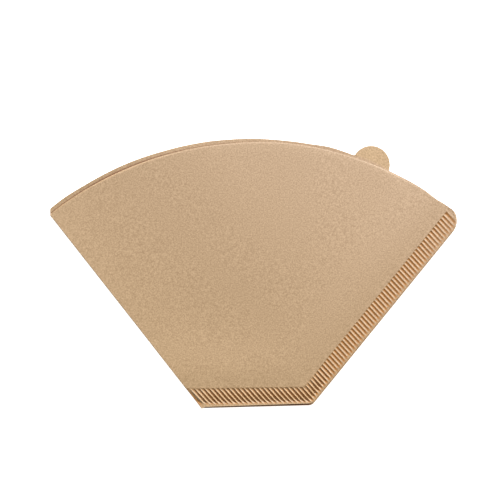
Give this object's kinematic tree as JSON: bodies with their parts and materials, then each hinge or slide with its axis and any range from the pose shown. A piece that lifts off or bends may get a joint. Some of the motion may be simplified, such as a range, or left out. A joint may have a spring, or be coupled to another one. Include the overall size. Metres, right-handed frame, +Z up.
{
  "type": "paper coffee filter",
  "caption": "Flat-folded cone filter of brown paper, with crimped bottom and side seams, a curved open mouth and a round grip tab.",
  "frame": {"origin": "middle of the flat-lying filter's box, on the surface it lies on", "axes": "+X across the filter from its folded edge to its crimped side edge, +Y from its crimped bottom to its open mouth, +Z up through the front layer"},
  "size_m": [0.1868, 0.124, 0.0021],
  "materials": {
    "paper": "matte unbleached filter paper, light brown"
  },
  "bodies": {
    "root": {"filter_paper": "paper"}
  },
  "joints": []
}
